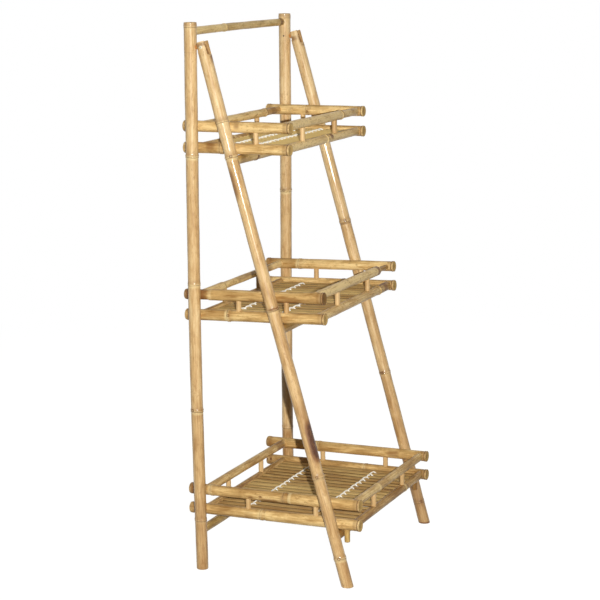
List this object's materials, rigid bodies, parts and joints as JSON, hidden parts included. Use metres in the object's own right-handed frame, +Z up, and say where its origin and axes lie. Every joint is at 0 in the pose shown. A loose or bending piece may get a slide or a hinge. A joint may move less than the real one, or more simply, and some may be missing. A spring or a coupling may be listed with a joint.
{
  "type": "folding tiered etagere",
  "caption": "Folding bamboo etagere: upright rear frame, leaning front frame hinged near its top, and slatted railed trays that turn on the rear posts and rest on crossbars.",
  "frame": {"origin": "on the floor, at the middle of the outline of all the pieces", "axes": "+X to the right as seen from the front, -Y towards the front where the legs lean, +Z up"},
  "size_m": [0.4824, 0.3756, 1.1],
  "materials": {
    "pole_bamboo": "gloss lacquered bamboo culm",
    "bar_bamboo": "gloss lacquered thin bamboo culm",
    "rail_bamboo": "gloss lacquered bamboo culm",
    "slat_bamboo": "satin split bamboo",
    "batten_bamboo": "satin split bamboo",
    "spacer_bamboo": "satin turned bamboo",
    "hinge_wood": "satin bamboo dowel",
    "lacing_cord": "twisted cream cord",
    "screw_steel": "dull steel",
    "nail_steel": "dark steel"
  },
  "bodies": {
    "rear_frame": {"rear_post_left": "pole_bamboo", "rear_post_right": "pole_bamboo", "top_bar": "bar_bamboo", "rear_stretcher": "bar_bamboo", "hinge_tongues": "hinge_wood", "tongue_nails": "nail_steel"},
    "front_frame": {"crossbar_bottom": "bar_bamboo", "crossbar_middle": "bar_bamboo", "crossbar_top": "bar_bamboo", "front_leg_left": "pole_bamboo", "front_leg_right": "pole_bamboo", "hinge_screws": "screw_steel"},
    "tray_top": {"top_battens": "batten_bamboo", "top_cross_rail_front_lower": "rail_bamboo", "top_cross_rail_front_upper": "rail_bamboo", "top_cross_rail_rear_lower": "rail_bamboo", "top_cross_rail_rear_upper": "rail_bamboo", "top_lacing": "lacing_cord", "top_pivot_dowels": "hinge_wood", "top_side_rail_lower_left": "rail_bamboo", "top_side_rail_lower_right": "rail_bamboo", "top_side_rail_upper_left": "rail_bamboo", "top_side_rail_upper_right": "rail_bamboo", "top_slats": "slat_bamboo", "top_spacers": "spacer_bamboo"},
    "tray_middle": {"middle_battens": "batten_bamboo", "middle_cross_rail_front_lower": "rail_bamboo", "middle_cross_rail_front_upper": "rail_bamboo", "middle_cross_rail_rear_lower": "rail_bamboo", "middle_cross_rail_rear_upper": "rail_bamboo", "middle_lacing": "lacing_cord", "middle_pivot_dowels": "hinge_wood", "middle_side_rail_lower_left": "rail_bamboo", "middle_side_rail_lower_right": "rail_bamboo", "middle_side_rail_upper_left": "rail_bamboo", "middle_side_rail_upper_right": "rail_bamboo", "middle_slats": "slat_bamboo", "middle_spacers": "spacer_bamboo"},
    "tray_bottom": {"bottom_battens": "batten_bamboo", "bottom_cross_rail_front_lower": "rail_bamboo", "bottom_cross_rail_front_upper": "rail_bamboo", "bottom_cross_rail_rear_lower": "rail_bamboo", "bottom_cross_rail_rear_upper": "rail_bamboo", "bottom_lacing": "lacing_cord", "bottom_pegs": "bar_bamboo", "bottom_pivot_dowels": "hinge_wood", "bottom_side_rail_lower_left": "rail_bamboo", "bottom_side_rail_lower_right": "rail_bamboo", "bottom_side_rail_upper_left": "rail_bamboo", "bottom_side_rail_upper_right": "rail_bamboo", "bottom_slats": "slat_bamboo", "bottom_spacers": "spacer_bamboo"}
  },
  "joints": [
    {"name": "front_frame_fold", "type": "hinge", "parent": "rear_frame", "child": "front_frame", "pos_m": [0, 0.1193, 1.053], "axis": [1, 0, 0], "range_deg": [0, 15.38]},
    {"name": "tray_top_fold", "type": "hinge", "parent": "rear_frame", "child": "tray_top", "pos_m": [0, 0.1483, 0.85503], "axis": [-1, 0, 0], "range_deg": [0, 90]},
    {"name": "tray_middle_fold", "type": "hinge", "parent": "rear_frame", "child": "tray_middle", "pos_m": [0, 0.1483, 0.52052], "axis": [-1, 0, 0], "range_deg": [0, 90]},
    {"name": "tray_bottom_fold", "type": "hinge", "parent": "rear_frame", "child": "tray_bottom", "pos_m": [0, 0.1483, 0.11748], "axis": [-1, 0, 0], "range_deg": [0, 57]}
  ]
}
